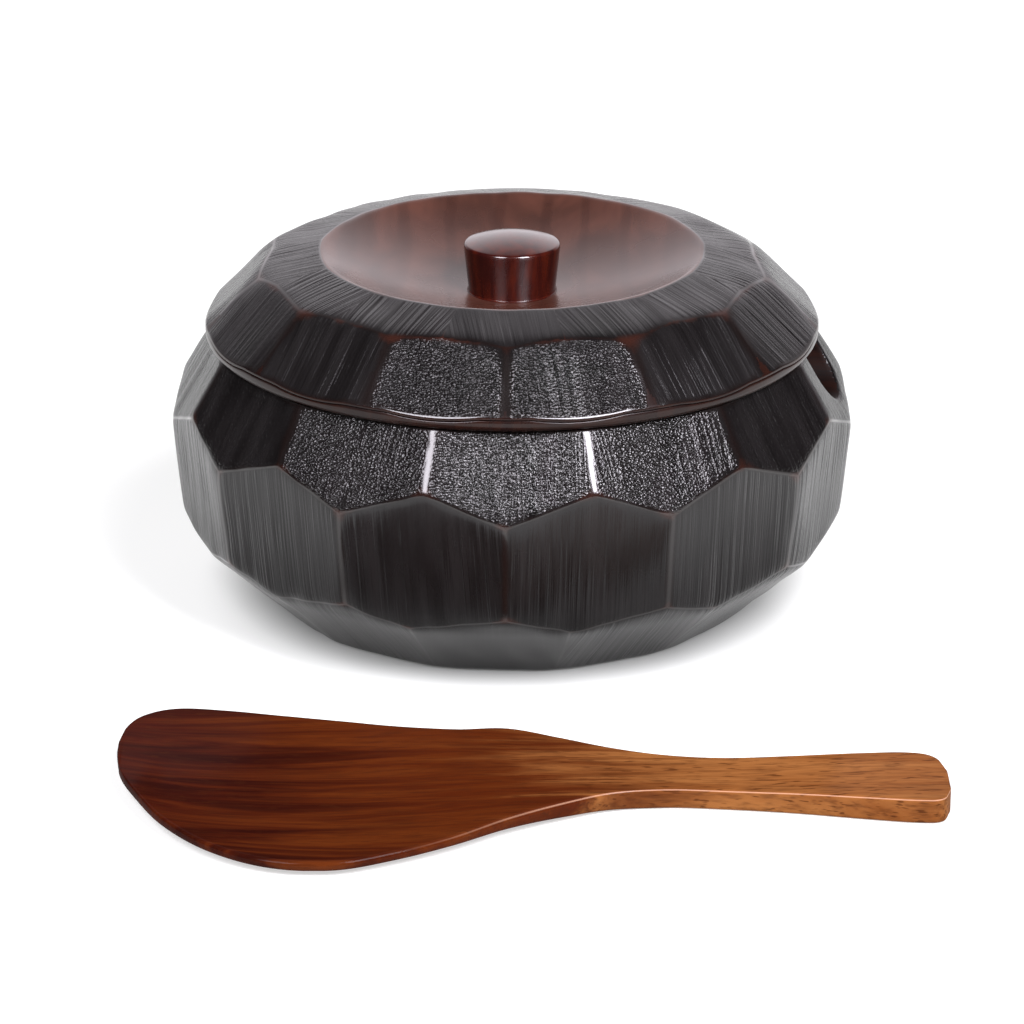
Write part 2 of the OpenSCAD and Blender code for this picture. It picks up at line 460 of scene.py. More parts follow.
# How far wear reaches beside each kind of ridge, by the rows on its two sides
BOWL_WEAR = [[1.3, 0.6, 0.5], [0.6, 1.0, 0.5], [0.5, 0.5, 0.5]]
# How sharp the ridges are at some heights, as a share of the sharpest
SHARP_Z = [12, 30, 58, 68]
SHARP_SHARE = [0.35, 0.5, 0.55, 1]
SAG = 0.35
SLOT_CLEAR = 2.5  # No wear is stored this near to the slot


def wear_bowl(mesh, gaps, normals):
    """Stores how near each point is to a worn ridge, rounds the edges and lets the facets sag."""
    points = points_of(mesh)
    z = points[:, 2]
    slot, slot_way = notch_gap(points)
    edge, corner = ridge_distance(gaps, normals, np.repeat([0, 1, 2], FACETS), BOWL_WEAR)
    outer = gaps.min(1)
    lip = np.where(outer < 0.1, np.minimum(RIM_Z - z, z) / 0.8, 0)
    store(mesh, "edge", np.where(slot < SLOT_CLEAR, UNWORN, np.minimum(edge, lip)))
    store(mesh, "corner", corner)

    wall = list(reversed(cavity_profile()))
    wall_r = np.interp(z, [p[1] for p in wall], [p[0] for p in wall])
    r = np.hypot(points[:, 0], points[:, 1])
    inner = np.where(z > 60, r - wall_r, FAR)
    inward = -np.stack([points[:, 0], points[:, 1], r * 0], 1) / np.maximum(r, 1e-6)[:, None]
    up = np.broadcast_to((0, 0, 1.0), points.shape)
    sharpness = np.interp(z, SHARP_Z, SHARP_SHARE) * (1.5 + 1.5 * unevenness(points, waves=6, size=26))
    skin, skin_way = blend(gaps, normals[None], sharpness[:, None])
    every = np.stack([skin, RIM_Z - z, z, slot, inner], 1)
    every_way = np.stack([skin_way, up, -up, slot_way, inward], 1)
    softened = settle(points, *blend(every, every_way, sharpness=2.4))

    sag = np.where(outer < 2, SAG * unevenness(points, waves=6, size=34), 0)
    sag *= np.clip(z / 8, 0, 1) * np.clip((RIM_Z - z) / 4, 0, 1)
    set_points(mesh, softened + inward * sag[:, None])


# Faces belong to the facets, or to the slot's wall, when their centres are this near to them
BOWL_SKIN = 0.5
SLOT_SKIN = 1.6


def build_bowl():
    """The bowl, and the material of each face: 0 carved, 1 turned or 2 in the notch."""
    rows = (Row(UPPER_TURN, *UPPER_PLANE), Row(MIDDLE_TURN, *MIDDLE_PLANE), Row(LOWER_TURN, *LOWER_PLANE))
    ridges, normals, reach = join_rows(rows)
    beside_notch = (NOTCH_TURN - 10, NOTCH_TURN + 10, 0.8)
    theta = columns(ridges, radius=100, coarse=2.4, dense=[beside_notch])
    piece = make_object("bowl_wood", *closed_skin(turn_profile(theta, bowl_profile(*rows, theta))))
    cut_notch(piece)
    points = points_of(piece.data)
    centres = grain_map(piece.data, points, reach, normals, swing=2.5)
    gaps = reach - points @ normals.T
    wear_bowl(piece.data, gaps, normals)
    store(piece.data, "hammer", stippling(normals, [1, 0, 0], behind=0.25)[np.argmin(gaps, 1)])
    carved = (reach - centres @ normals.T).min(1) < BOWL_SKIN
    in_slot = np.abs(notch_gap(centres)[0]) < SLOT_SKIN
    return piece, np.select([carved, in_slot], [0, 2], 1)


# ---------------------------------------------------------------- lid


DISH_CENTRE = np.array([0, 0, DISH_Z + DISH_R])


def dish_height(r):
    """Height of the dish's ball-shaped floor."""
    return DISH_Z + DISH_R - np.sqrt(DISH_R**2 - r * r)


def dish_gap(points):
    """Depth of each point below the dish's floor, and the direction up through it."""
    away = DISH_CENTRE - points
    far = np.linalg.norm(away, axis=1)
    return far - DISH_R, away / far[:, None]


def dish_edge(ring, theta):
    """Where the dish meets the ring in each column."""
    r = np.full(len(theta), 60.0)
    for _ in range(30):
        f = dish_height(r) - ring.height(theta, r)
        r -= f / (r / np.sqrt(DISH_R**2 - r * r) + ring.slope(theta) / ring.sin)
    return np.stack([r, dish_height(r)], 1)


def heading(points):
    """Direction of each point from the middle, in degrees."""
    return np.degrees(np.arctan2(points[:, 1], points[:, 0]))


def lip_height(side, theta):
    """The lip is where the facets end, but turning has taken off their corners."""
    return np.minimum(side.height(theta, LID_R), LIP_Z)


GROOVE_DROP = 1.0  # From the lip down to the groove


def roll_profile(side, theta):
    """The bead along the lid's edge, the fine groove over it and the lip of the facets."""
    top = lip_height(side, theta)
    level = theta * 0
    start = RIM_Z + ROLL_R
    groove = top - GROOVE_DROP
    bottom = arc((LID_R - ROLL_R, start), ROLL_R, ROLL_R, -90, 0, 7)
    out = [np.stack([level + x, level + z], 1) for x, z in bottom]
    # The bead's face leans back towards the groove
    for t in (0.14, 0.28, 0.42, 0.56, 0.7, 0.82, 0.92):
        back = 0.3 * np.clip((t - 0.4) / 0.6, 0, 1) ** 2
        out.append(np.stack([level + LID_R - back, start + (groove - start) * t], 1))
    for back, rise in ((0.35, -0.05), (0.85, 0.05), (0.85, 0.2), (0.4, 0.3)):
        out.append(np.stack([level + LID_R - back, groove + rise], 1))
    for x, z in arc((-LIP_ROUND, -0.42 * LIP_ROUND), LIP_ROUND, LIP_ROUND, -8, 45, 7):
        out.append(np.stack([level + LID_R + x, top + z], 1))
    return out


def flange_profile():
    """The lid's underside from its hollow, round the flange and out to the roll."""
    soft = FLANGE_ROUND
    profile = [(HOLLOW_R, 80), (HOLLOW_R, FLANGE_Z + soft), (HOLLOW_R + 0.35, FLANGE_Z + 0.35)]
    profile += [(HOLLOW_R + soft, FLANGE_Z), (FLANGE_R - soft, FLANGE_Z), (FLANGE_R - 0.35, FLANGE_Z + 0.35)]
    profile += [(FLANGE_R, FLANGE_Z + soft), (FLANGE_R, 80), (FLANGE_R, RIM_Z - 0.4), (FLANGE_R + 0.3, RIM_Z)]
    return profile + [(83, RIM_Z), (88, RIM_Z)]


def lid_profile(ring, side, theta):
    """Each column's outline, from the middle of the underside round the flange, up over the roll, the
    facets and the dish, and down the hole for the knob's tenon."""
    shoulder = meet(ring, side, theta)
    brim = dish_edge(ring, theta)
    roll = roll_profile(side, theta)
    seat_z = float(dish_height(SEAT_R))
    hole_z = seat_z - TENON_LEN - 0.5
    profile = [(0, UNDER_Z)]
    profile += line((8, UNDER_Z + 0.1), (30, UNDER_Z + 1.2), np.linspace(0, 1, 4))
    profile += bezier((30, UNDER_Z + 1.2), (52, CROWN_Z), (HOLLOW_R, CROWN_Z), (HOLLOW_R, RIM_Z + 2), 20)[1:]
    profile += flange_profile()
    profile += roll
    profile += line(roll[-1], shoulder, stops(20, 1.8))[1:]
    profile += line(shoulder, brim, stops(22, 1.8))[1:]
    dish_r = [brim[:, 0] + (SEAT_R - brim[:, 0]) * t for t in stops(46, 2.2, tail=False)[1:]]
    profile += [np.stack([r, dish_height(r)], 1) for r in dish_r]
    return profile + [(SEAT_R - 1.5, seat_z), (TENON_R, seat_z), (TENON_R, hole_z), (0, hole_z)]


# How far wear reaches beside each kind of ridge, by the rows on its two sides
LID_WEAR = [[0.02, 0.8], [0.8, 1.7]]


def wear_lid(mesh, gaps, normals, side):
    """Stores how near each point is to a worn ridge, and rounds the edges."""
    points = points_of(mesh)
    z = points[:, 2]
    r = np.hypot(points[:, 0], points[:, 1])
    depth, dish_way = dish_gap(points)
    dish = np.where((z > UNDER_Z + 2) & (r > SEAT_R + 1), depth, FAR)
    lip_z = lip_height(side, heading(points))
    edge, corner = ridge_distance(gaps, normals, np.repeat([0, 1], FACETS), LID_WEAR)
    brow = np.minimum(np.abs(dish) / 0.4, np.abs(z - lip_z) / 0.6)
    store(mesh, "edge", np.minimum(edge, np.where(gaps.min(1) < 0.6, brow, UNWORN)))
    store(mesh, "corner", corner)

    sharpness = 0.8 + 0.8 * unevenness(points, waves=6, size=26)
    skin, skin_way = blend(gaps, normals[None], sharpness[:, None])
    every_way = np.stack([skin_way, dish_way], 1)
    set_points(mesh, settle(points, *blend(np.stack([skin, dish], 1), every_way, sharpness=4.0)))


# Faces belong to the facets, or to the dish, when their centres are this near, and in these rings
LID_SKIN = 0.9
DISH_SKIN = 0.3
RING_LEAST_R = 40
DISH_MOST_R = 66


def build_lid():
    """The lid, and the material of each face: 0 carved, 1 turned or 2 in the dish."""
    ring = Row(RING_TURN, *RING_PLANE)
    side = Row(SIDE_TURN, *SIDE_PLANE, SIDE_DRIFT)
    ridges, normals, reach = join_rows((ring, side))
    theta = columns(ridges, radius=85, coarse=2.0)
    piece = make_object("lid_wood", *closed_skin(turn_profile(theta, lid_profile(ring, side, theta))))
    points = points_of(piece.data)
    centres = grain_map(piece.data, points, reach, normals, swing=9)
    gaps = reach - points @ normals.T
    wear_lid(piece.data, gaps, normals, side)
    store(piece.data, "hammer", stippling(normals, [0, 1.7], behind=0.05)[np.argmin(gaps, 1)])
    z = centres[:, 2]
    r = np.hypot(centres[:, 0], centres[:, 1])
    gap = (reach - centres @ normals.T).min(1)
    depth = dish_gap(centres)[0]
    over_lip = z > lip_height(side, heading(centres)) - 0.1
    carved = (gap < LID_SKIN) & over_lip & (depth > 0.05) & (r > RING_LEAST_R)
    dished = (np.abs(depth) < DISH_SKIN) & (z > CROWN_Z + 1) & (r < DISH_MOST_R)
    return piece, np.select([carved, dished], [0, 2], 1)


# ---------------------------------------------------------------- knob


KNOB_POOL = 0.55  # Radius of the lacquer that has pooled round the foot


def knob_profile():
    """From the tenon's end out to the foot, up the waist, round the edge and over the dome."""
    foot_z = float(dish_height(SEAT_R))
    end_z = foot_z - TENON_LEN
    foot_c = (KNOB_FOOT_R + KNOB_POOL, foot_z + KNOB_POOL + 0.05)
    foot = arc(foot_c, KNOB_POOL, KNOB_POOL, 260, 174, 10)
    top = arc((KNOB_R - KNOB_ROUND, KNOB_EDGE_Z), KNOB_ROUND, KNOB_ROUND, -6, 72, 12)
    dome_z = top[-1][1]
    pull = (KNOB_R * 0.62, dome_z + (KNOB_TOP_Z - dome_z) * 0.67)
    profile = [(0, end_z), (TENON_R - 0.55, end_z), (TENON_R - 0.05, end_z + 0.5)]
    profile += [(TENON_R - 0.05, foot_z), (8, foot_z), (KNOB_FOOT_R - 0.1, foot_z)]
    profile += foot
    profile += [p[0] for p in line(foot[-1], top[0], np.linspace(0, 1, 14)[1:-1])]
    profile += top
    return profile + bezier(top[-1], pull, (KNOB_R * 0.31, KNOB_TOP_Z), (0, KNOB_TOP_Z), 16)[1:]


def build_knob():
    """The knob with its tenon, turned round."""
    theta = np.arange(0, 360, 3.0)
    return make_object("knob_wood", *closed_skin(turn_profile(theta, knob_profile())))


# ---------------------------------------------------------------- paddle


def plan_at(x, c):
    """The paddle's back or front edge at x, on a smooth curve through the plan's rows."""
    plan = np.array(PADDLE_PLAN)
    end = len(plan) - 1
    k = min(max(int(np.searchsorted(plan[:, 0], x, side="right")) - 1, 0), end - 1)

    def slope(i):
        a, b = plan[max(0, i - 1)], plan[min(end, i + 1)]
        return (b[c] - a[c]) / (b[0] - a[0])

    w = plan[k + 1, 0] - plan[k, 0]
    t = (x - plan[k, 0]) / w
    s = 1 - t
    rise = plan[k, c] * (1 + 2 * t) * s * s + slope(k) * w * t * s * s
    return rise + plan[k + 1, c] * (3 - 2 * t) * t * t - slope(k + 1) * w * t * t * s


def ease(t):
    """A smooth step from 0 to 1, as t goes from 0 to 1."""
    t = min(1, max(0, t))
    return t * t * (3 - 2 * t)


CORNER_STEPS = 6
CREASE = 3  # The point of each ring that is halfway round the front top corner


def rounded_rectangle(w, t, r):
    """Points around a rectangle of half sizes w and t, with corners of radius r, from its front."""
    ring = []
    for quarter, (su, sv) in enumerate(((1, 1), (-1, 1), (-1, -1), (1, -1))):
        for i in range(CORNER_STEPS + 1):
            a = math.radians(90 * quarter + 90 * i / CORNER_STEPS)
            ring.append((su * (w - r) + r * math.cos(a), sv * (t - r) + r * math.sin(a)))
        if quarter in (0, 2):
            ring += [(su * (w - r) * math.cos(math.pi * i / 20), su * t) for i in range(1, 20)]
        else:
            ring += [(su * w, su * (t - r) * (2 * i / 3 - 1)) for i in (1, 2)]
    return ring


def paddle_section(x):
    """One ring of points around the paddle at x: the flat handle turns into a thin hollowed leaf."""
    back = plan_at(x, 1)
    front = min(plan_at(x, 2), PADDLE_FRONT)
    w, mid = (front - back) / 2, (front + back) / 2
    blade = 1 - ease((x - NECK_START) / NECK_LEN)
    grip = HANDLE_T + (HANDLE_END_T - HANDLE_T) * ease((x - SWELL_START) / SWELL_LEN)
    t = (grip + (BLADE_T - grip) * blade) / 2
    r = HANDLE_ROUND + (t - 0.05 - HANDLE_ROUND) * blade
    hollow = BLADE_DISH * (2 * w / (BLADE_FRONT - BLADE_BACK)) ** 2
    points = []
    for across, rise in rounded_rectangle(w, t, r):
        d = mid + across
        lean = BACK_RIM_Z + (FRONT_RIM_Z - BACK_RIM_Z) * (d - BLADE_BACK) / (BLADE_FRONT - BLADE_BACK)
        core = grip / 2 * (1 - blade) + (lean - hollow * (1 - (across / w) ** 2)) * blade
        points.append((x, -d, core + rise))
    return points


PADDLE_RINGS = 191


def build_paddle():
    """The paddle: rings from the blade's tip to the handle's end, close together at both."""
    start, end = PADDLE_PLAN[0][0], PADDLE_PLAN[-1][0]
    even = np.linspace(0, 1, PADDLE_RINGS)
    where = start + (end - start) * (0.45 * even + 0.55 * (1 - np.cos(np.pi * even)) / 2)
    rings = [paddle_section(x) for x in where]
    n = len(rings[0])
    verts = [p for ring in rings for p in ring]
    faces = tube_faces(PADDLE_RINGS, n)
    for ring, flip in ((0, True), (PADDLE_RINGS - 1, False)):
        hub = len(verts)
        verts.append(tuple(np.mean(rings[ring], 0)))
        for j in range(n):
            a, b = ring * n + j, ring * n + (j + 1) % n
            faces.append((hub, b, a) if flip else (hub, a, b))
    piece = make_object("paddle_wood", verts, faces)
    # The front top corner of every ring, where the material paints a pale highlight line
    crease_highlight = np.zeros(n)
    crease_highlight[CREASE] = 1
    store(piece.data, "crease_highlight", np.concatenate([np.tile(crease_highlight, PADDLE_RINGS), [0, 0]]))
    return piece


# ---------------------------------------------------------------- materials

# Noise scales are per metre, and bump distances are in metres


class Graph:
    """The node tree of a material or a world, with short ways to add nodes."""

    def __init__(self, owner):
        owner.use_nodes = True
        self.tree = owner.node_tree
        self.tree.nodes.clear()

    def node(self, kind, inputs=None, out=0, **settings):
        n = self.tree.nodes.new(kind)
        for key, value in settings.items():
            setattr(n, key, value)
        for key, value in (inputs or {}).items():
            self.feed(n.inputs[key], value)
        return n.outputs[out]

    def feed(self, socket, value):
        if isinstance(value, bpy.types.NodeSocket):
            self.tree.links.new(value, socket)
        else:
            socket.default_value = value

    def math(self, operation, a, b):
        return self.node("ShaderNodeMath", {0: a, 1: b}, operation=operation)

    def times(self, a, b):
        """One value multiplied by another."""
        return self.math("MULTIPLY", a, b)

    def scaled(self, vector, x, y, z=1.0):
        return self.node("ShaderNodeMapping", {"Vector": vector, "Scale": (x, y, z)})

    def noise(self, vector, scale=1.0, detail=2.0, roughness=0.5, distortion=0.0):
        inputs = {"Vector": vector, "Scale": scale, "Detail": detail}
        inputs |= {"Roughness": roughness, "Distortion": distortion}
        return self.node("ShaderNodeTexNoise", inputs)

    def axis(self, vector, number):
        """One axis of a vector, numbered from 0 for X."""
        return self.node("ShaderNodeSeparateXYZ", {0: vector}, out=number)

    def ramp(self, value, a, b, low=0.0, high=1.0):
        """From low to high, eased, as the value goes from a to b."""
        inputs = {"Value": value, "From Min": a, "From Max": b, "To Min": low, "To Max": high}
        return self.node("ShaderNodeMapRange", inputs, interpolation_type="SMOOTHSTEP")

    def mix(self, factor, a, b):
        """A colour from a to b."""
        n = self.tree.nodes.new("ShaderNodeMix")
        n.data_type = "RGBA"
        self.feed(n.inputs["Factor"], factor)
        for socket, value in ((n.inputs[6], a), (n.inputs[7], b)):
            self.feed(socket, value if isinstance(value, bpy.types.NodeSocket) else (*value, 1))
        return n.outputs[2]

    def bump(self, height, distance, strength=1.0, normal=None):
        inputs = {"Height": height, "Distance": distance, "Strength": strength}
        if normal is not None:
            inputs["Normal"] = normal
        return self.node("ShaderNodeBump", inputs)


class Surface(Graph):
    """A new material with one shader."""

    def __init__(self, name):
        self.material = bpy.data.materials.new(name)
        super().__init__(self.material)
        out = self.tree.nodes.new("ShaderNodeOutputMaterial")
        self.shader = self.tree.nodes.new("ShaderNodeBsdfPrincipled")
        self.tree.links.new(self.shader.outputs[0], out.inputs[0])

    def finish(self, **sockets):
        """Sets the shader's inputs and returns the material."""
        for name, value in sockets.items():
            socket = self.shader.inputs[name.replace("_", " ")]
            if not isinstance(value, bpy.types.NodeSocket) and socket.type == "RGBA":
                value = (*value, 1)
            self.feed(socket, value)
        return self.material


def hexed(code):
    """Linear colour of an sRGB hex code."""
    s = np.array([int(code[i : i + 2], 16) / 255 for i in (0, 2, 4)])
    return tuple(float(v) for v in np.where(s <= 0.04045, s / 12.92, ((s + 0.055) / 1.055) ** 2.4))


def carved_lacquer():
    """Black lacquer over carved grain, rubbed through to red-brown along the ridges."""
    g = Surface("carved_black_lacquer")
    uv = g.node("ShaderNodeUVMap", uv_map="grain")
    edge = g.node("ShaderNodeAttribute", attribute_name="edge", out=2)
    corner = g.node("ShaderNodeAttribute", attribute_name="corner", out=2)
    hammer = g.node("ShaderNodeAttribute", attribute_name="hammer", out=2)
    place = g.node("ShaderNodeTexCoord", out=3)
    grooves = g.noise(g.scaled(uv, 520, 9), detail=2, roughness=0.6)
    lines = g.noise(g.scaled(uv, 1500, 22), detail=2, roughness=0.6)
    # Stippling: small domes and specks, less of them where the plane has left bare rows
    cell_inputs = {"Vector": g.scaled(uv, 1120, 1200), "Scale": 1.0, "Randomness": 0.85}
    cells = g.node("ShaderNodeTexVoronoi", cell_inputs)
    dome = g.times(g.times(cells, cells), -1.0)
    planed = g.ramp(g.noise(place, scale=34, detail=1), 0.42, 0.58)
    rows = g.ramp(g.noise(g.scaled(uv, 880, 8), detail=0), 0.44, 0.56)
    bare = g.times(planed, g.times(rows, 0.8))
    stipple = g.times(hammer, g.math("SUBTRACT", 1.0, bare))
    specks = g.times(g.noise(g.scaled(uv, 1700, 1700), detail=1), hammer)
    # Colour: near black, browner along the ridges and red-brown where ridges meet
    patches = g.noise(g.scaled(uv, 130, 26), detail=2)
    worn = g.noise(place, scale=120, detail=3, roughness=0.6)
    along = g.ramp(edge, 0.0, g.ramp(worn, 0.3, 0.7, 0.9, 3.0), 1.0, 0.0)
    patch = g.ramp(g.math("ADD", edge, corner), 0.3, g.ramp(worn, 0.3, 0.7, 2.6, 8.0), 0.75, 0.0)
    tone = g.mix(g.ramp(patches, 0.3, 0.7), hexed("100e0e"), hexed("1b1919"))
    tone = g.mix(g.ramp(lines, 0.52, 0.66, 0.0, 0.5), tone, hexed("090707"))
    tone = g.mix(g.times(along, 0.6), tone, hexed("160e0c"))
    colour = g.mix(patch, tone, g.mix(g.ramp(worn, 0.35, 0.65), hexed("20120e"), hexed("331a13")))
    # Gloss and relief: ridges are smooth and polished, and the lowest row is dull from standing
    smooth = g.ramp(edge, 0.3, 2.2)
    soft = g.math("ADD", g.ramp(hammer, 0.0, 1.0, 0.25, 0.13), g.ramp(hammer, 1.0, 1.7, 0.0, 0.04))
    rough = g.ramp(edge, 0.2, 1.6, 0.2, soft)
    z = g.axis(place, 2)
    handled = g.math("ADD", g.ramp(z, 0.02, 0.068, 0.12, 0.5), g.ramp(z, 0.019, 0.023, 0.1, 0.0))
    fade = g.times(g.ramp(hammer, 0.0, 0.25, 0.0006, 0.0002), g.ramp(z, 0.014, 0.028, 0.35, 1.0))
    sheen = g.math("ADD", g.ramp(hammer, 0.0, 0.25, 1.0, 0.4), g.ramp(hammer, 0.3, 1.0, 0.0, 0.6))
    polish = g.times(g.ramp(edge, 0.2, 1.2, 0.5, 0.03), g.ramp(z, 0.014, 0.03, 0.1, 1.0))
    normal = g.bump(g.times(dome, stipple), 0.00038, smooth)
    normal = g.bump(specks, 0.00014, smooth, normal)
    normal = g.bump(lines, g.times(fade, 0.25), smooth, normal)
    normal = g.bump(grooves, g.times(fade, g.ramp(planed, 0.0, 1.0, 0.5, 1.5)), smooth, normal)
    return g.finish(
        Base_Color=colour,
        Roughness=rough,
        IOR=1.42,
        Specular_IOR_Level=g.times(handled, sheen),
        Coat_Weight=polish,
        Coat_Roughness=0.12,
        Normal=normal,
    )


def turned_lacquer():
    """The same lacquer over smooth turned wood."""
    g = Surface("turned_black_lacquer")
    place = g.node("ShaderNodeTexCoord", out=3)
    streaks = g.noise(g.scaled(place, 190, 12, 60), detail=3, roughness=0.55, distortion=0.4)
    clouds = g.noise(place, scale=26, detail=3)
    colour = g.mix(g.ramp(streaks, 0.3, 0.7), hexed("180b09"), hexed("24110b"))
    colour = g.mix(g.ramp(clouds, 0.35, 0.7, 0.0, 0.5), colour, hexed("190d0a"))
    rough = g.ramp(clouds, 0.3, 0.7, 0.24, 0.32)
    normal = g.bump(streaks, 0.00003)
    return g.finish(Base_Color=colour, Roughness=rough, IOR=1.34, Normal=normal)


def dish_lacquer():
    """Thin lacquer in the lid's dish, where the wood's rings show red-brown through it."""
    g = Surface("dish_lacquer")
    place = g.node("ShaderNodeTexCoord", out=3)
    ring_inputs = {"Vector": g.scaled(place, 1, 0.55), "Scale": 22, "Distortion": 5}
    ring_inputs |= {"Detail": 2, "Detail Scale": 0.6}
    rings = g.node("ShaderNodeTexWave", ring_inputs, out=1, bands_direction="X")
    streaks = g.noise(g.scaled(place, 60, 26, 60), detail=3, roughness=0.55, distortion=0.6)
    clouds = g.noise(place, scale=24, detail=3)
    colour = g.mix(g.ramp(streaks, 0.3, 0.7), hexed("3b241d"), hexed("523228"))
    colour = g.mix(g.ramp(rings, 0.75, 1.0, 0.0, 0.35), colour, hexed("2e1812"))
    colour = g.mix(g.ramp(clouds, 0.4, 0.7, 0.0, 0.45), colour, hexed("38211b"))
    rough = g.ramp(clouds, 0.3, 0.7, 0.22, 0.3)
    normal = g.bump(streaks, 0.00001)
    return g.finish(
        Base_Color=colour,
        Roughness=rough,
        IOR=1.5,
        Coat_Weight=0.25,
        Coat_Roughness=0.2,
        Normal=normal,
    )


def notch_lacquer():
    """Dull dark lacquer soaked into the end grain of the notch."""
    g = Surface("notch_lacquer")
    place = g.node("ShaderNodeTexCoord", out=3)
    streaks = g.noise(g.scaled(place, 60, 60, 700), detail=3, roughness=0.6)
    colour = g.mix(g.ramp(streaks, 0.3, 0.7), hexed("0d0504"), hexed("200c06"))
    rough = g.ramp(streaks, 0.3, 0.7, 0.5, 0.65)
    normal = g.bump(streaks, 0.00006)
    return g.finish(Base_Color=colour, Roughness=rough, Specular_IOR_Level=0.1, Normal=normal)


def knob_lacquer():
    """Red-brown lacquer over the knob's grain, polished on top."""
    g = Surface("red_brown_lacquer")
    place = g.node("ShaderNodeTexCoord", out=3)
    grain = g.noise(g.scaled(place, 380, 380, 30), detail=3, roughness=0.6, distortion=0.3)
    clouds = g.noise(place, scale=90, detail=2)
    colour = g.mix(g.ramp(grain, 0.3, 0.75), hexed("2a0a08"), hexed("481609"))
    colour = g.mix(g.ramp(clouds, 0.4, 0.65, 0.0, 0.6), colour, hexed("260c0a"))
    rough = g.ramp(grain, 0.3, 0.7, 0.2, 0.26)
    polish = g.ramp(g.axis(place, 2), 0.1085, 0.1105, 0.2, 0.9)
    normal = g.bump(grain, 0.00001)
    return g.finish(
        Base_Color=colour,
        Roughness=rough,
        IOR=1.36,
        Coat_Weight=polish,
        Coat_Roughness=0.09,
        Normal=normal,
    )


def paddle_varnish():
    """Oiled wood with the grain along the paddle: dark red at the blade, amber at the handle, with a painted
    highlight along the front top corner.
    """
    g = Surface("varnished_wood")
    place = g.node("ShaderNodeTexCoord", out=3)
    crease_highlight = g.node("ShaderNodeAttribute", attribute_name="crease_highlight", out=2)
    x = g.axis(place, 0)
    bands = g.noise(g.scaled(place, 9, 130, 60), detail=4, roughness=0.62, distortion=0.7)
    blots = g.noise(g.scaled(place, 28, 75, 60), detail=2, roughness=0.5)
    fine = g.noise(g.scaled(place, 90, 1000, 700), detail=2, roughness=0.6)
    pores = g.noise(g.scaled(place, 170, 1300, 1300), detail=1)
    along = g.math("ADD", x, g.ramp(bands, 0.25, 0.75, -0.035, 0.035))
    dark = g.mix(g.ramp(bands, 0.35, 0.65), hexed("250a06"), hexed("381108"))
    warm = g.mix(g.ramp(bands, 0.35, 0.65), hexed("451a08"), hexed("50240c"))
    amber = g.mix(g.ramp(bands, 0.3, 0.7), hexed("70401c"), hexed("89582e"))
    colour = g.mix(g.ramp(along, -0.1, -0.02), dark, warm)
    colour = g.mix(g.ramp(along, 0.0, 0.075), colour, amber)
    colour = g.mix(g.ramp(blots, 0.5, 0.72, 0.0, 0.2), colour, hexed("240e08"))
    colour = g.mix(g.ramp(fine, 0.42, 0.72, 0.0, 0.42), colour, hexed("32150a"))
    grainy = g.ramp(x, -0.02, 0.04, 0.35, 0.7)
    colour = g.mix(g.times(g.ramp(pores, 0.58, 0.7), grainy), colour, hexed("3a1a0a"))
    # Painted highlight: a pale line along the front top corner, strongest on the handle and none on most of
    # the blade
    colour = g.mix(g.times(crease_highlight, g.ramp(x, -0.04, 0.05, 0.0, 0.55)), colour, hexed("dcae90"))
    rough = g.ramp(bands, 0.3, 0.7, 0.3, 0.4)
    normal = g.bump(pores, 0.00004)
    normal = g.bump(fine, 0.00004, 1.0, normal)
    return g.finish(
        Base_Color=colour,
        Roughness=rough,
        Specular_IOR_Level=0.0,
        Coat_Weight=0.08,
        Coat_Roughness=0.14,
        Normal=normal,
    )


def floor_material():
    """Plain white sheet, lit more evenly away from the set, with its glow dimmed close round the bowl's foot
    as painted shade.
    """
    g = Surface("pale_floor")
    place = g.node("ShaderNodeTexCoord", out=3)
    away = g.node("ShaderNodeVectorMath", {0: place}, out=1, operation="LENGTH")
    glow = g.times(g.ramp(away, 0.1, 0.7, 0.56, 0.88), g.ramp(away, 1.1, 2.0, 1.0, 0.4))
    # Painted shade: the glow falls to a tenth nearer than about 10 cm to the middle, darkening the floor
    # round and under the bowl's foot
    glow = g.times(glow, g.ramp(away, 0.066, 0.1, 0.1, 1.0))
    return g.finish(
        Base_Color=(0.52, 0.54, 0.51),
        Roughness=0.9,
        Specular_IOR_Level=0.0,
        Emission_Color=(1, 1, 1),
        Emission_Strength=glow,
    )


def paint(piece, materials, index=None):
    """Gives a piece its materials, and each face its own when it has more than one."""
    for m in materials:
        piece.data.materials.append(m)
    if index is not None:
        piece.data.polygons.foreach_set("material_index", np.asarray(index, np.int32))
    piece.data.update()


# ---------------------------------------------------------------- stage, light and camera

# Metres and degrees. The soft boxes are alike but for their side and power.
BOX_RISE = 43
BOX_AWAY = 1.5
BOX_SIZE = (0.46, 0.8)
BOX_TINT = (1.0, 0.96, 1.04)
BOX_AIM_Z = 0.06
CAMERA_RISE = 21.235
CAMERA_AWAY = 1.4
CAMERA_AIM_Z = 0.02228
LENS_MM = 157.98
ROOM_TINT = (1, 0.95, 1, 1)
WHITE = (1, 1, 1, 1)
FLOOR_HALF = 4
FLOOR_DROP = 0.0002


def add_soft_box(name, azimuth, power):
    """A soft box that faces the bowl. Azimuth 0 is the front, and it grows towards +X."""
    a, e = math.radians(azimuth), math.radians(BOX_RISE)
    way = Vector((math.sin(a) * math.cos(e), -math.cos(a) * math.cos(e), math.sin(e)))
    data = bpy.data.lights.new(name, "AREA")
    data.shape = "RECTANGLE"
    data.size, data.size_y = BOX_SIZE
    data.energy = power
    data.color = BOX_TINT
    lamp = bpy.data.objects.new(name, data)
    lamp.location = way * BOX_AWAY + Vector((0, 0, BOX_AIM_Z))
    lamp.rotation_euler = (-way).to_track_quat("-Z", "Y").to_euler()
    bpy.context.scene.collection.objects.link(lamp)


